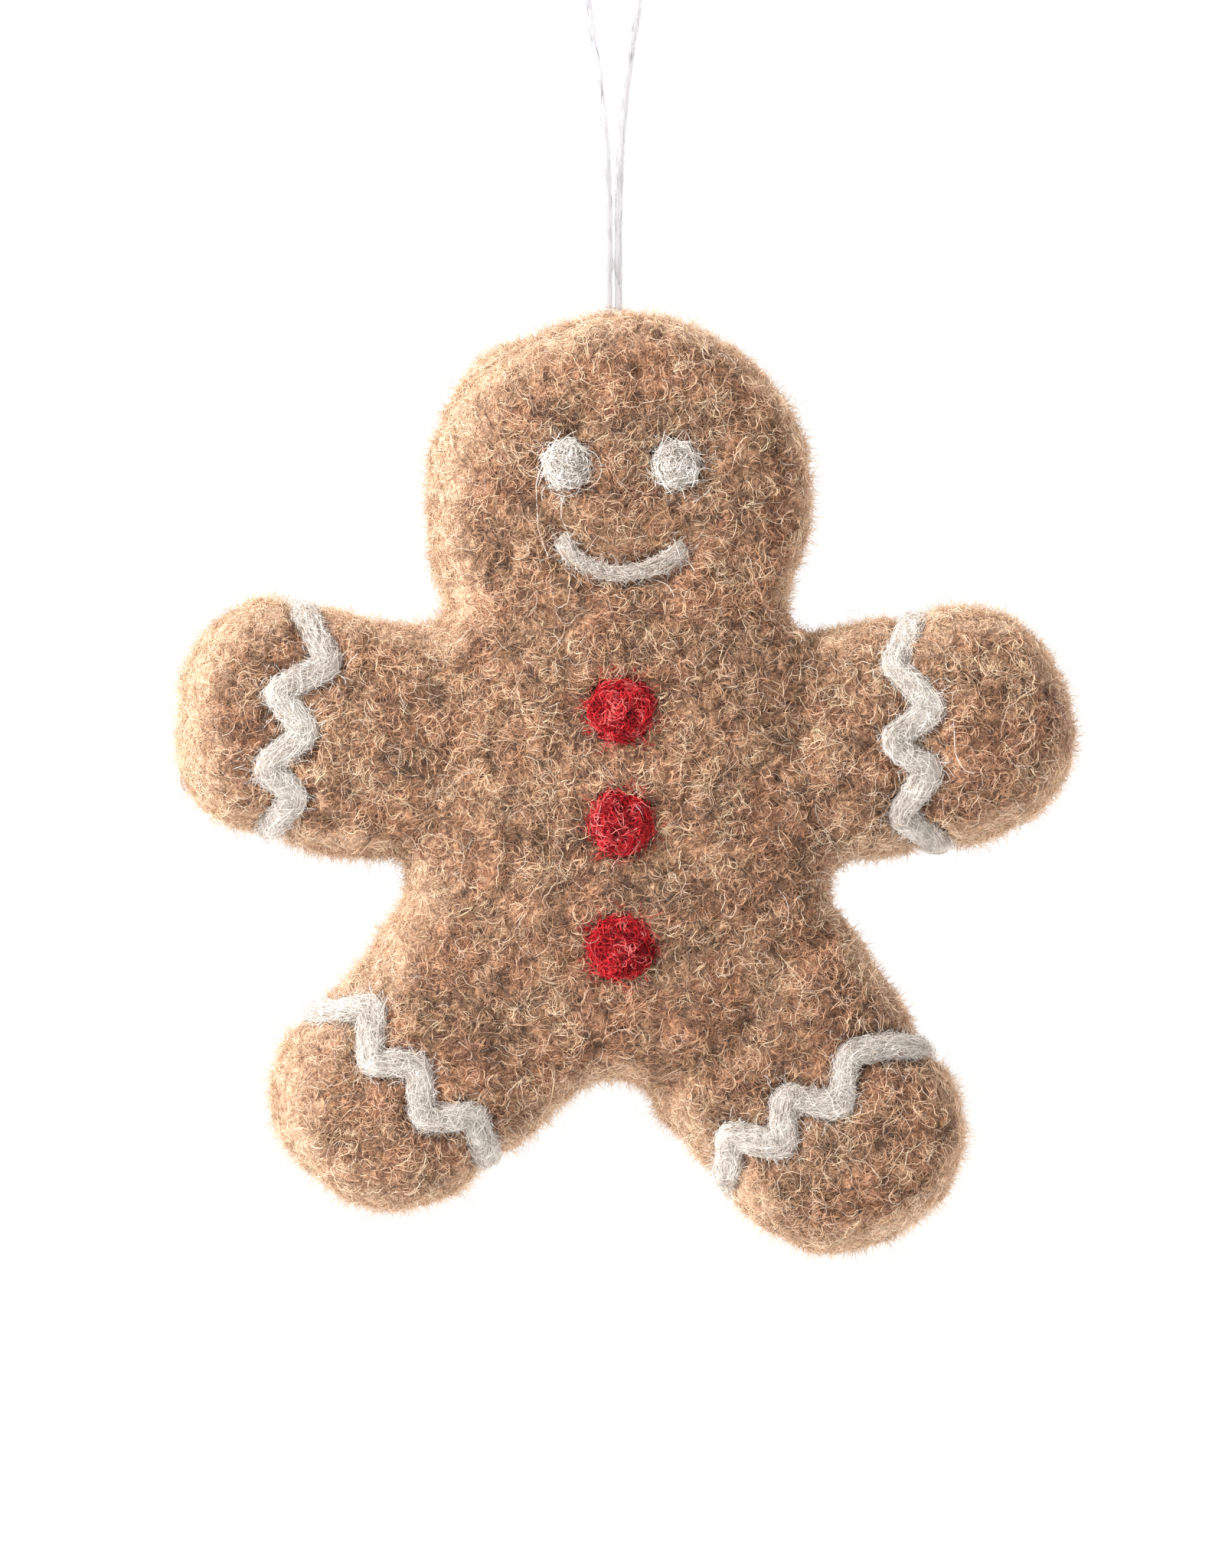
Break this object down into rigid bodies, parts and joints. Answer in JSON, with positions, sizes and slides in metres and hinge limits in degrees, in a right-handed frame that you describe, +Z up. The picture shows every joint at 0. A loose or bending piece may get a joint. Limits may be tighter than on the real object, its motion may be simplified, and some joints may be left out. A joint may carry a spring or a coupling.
{
  "type": "gingerbread ornament",
  "caption": "Needle-felted wool gingerbread figure with yarn icing, eyes, smile and buttons, hanging from a loop of thread.",
  "frame": {"origin": "the point inside the top of the loop where a hook bears, centred on the thread", "axes": "+Z up, -Y out of the front of the figure, +X to the viewer's right, which is the figure's own left"},
  "size_m": [0.1095, 0.0203, 0.1618],
  "materials": {
    "brown_felt": "matte",
    "white_wool": "matte",
    "red_wool": "matte",
    "thread": "satin"
  },
  "bodies": {
    "loop_top": {"loop_bend": "thread"},
    "strands": {"left_strand": "thread", "right_strand": "thread"},
    "figure": {"head": "brown_felt", "torso": "brown_felt", "left_arm": "brown_felt", "right_arm": "brown_felt", "left_leg": "brown_felt", "right_leg": "brown_felt", "left_eye": "white_wool", "right_eye": "white_wool", "smile": "white_wool", "top_button": "red_wool", "middle_button": "red_wool", "bottom_button": "red_wool", "left_wrist_icing": "white_wool", "right_wrist_icing": "white_wool", "left_ankle_icing": "white_wool", "right_ankle_icing": "white_wool", "anchor_knot": "thread"}
  },
  "joints": [
    {"name": "thread_twist", "type": "hinge", "parent": "loop_top", "child": "strands", "pos_m": [0, 0, -0.0238], "axis": [0, 0, 1], "range_deg": [-180, 180]},
    {"name": "crown_swing", "type": "hinge", "parent": "strands", "child": "figure", "pos_m": [0, 0, -0.04555], "axis": [1, 0, 0], "range_deg": [-90, 90]}
  ]
}
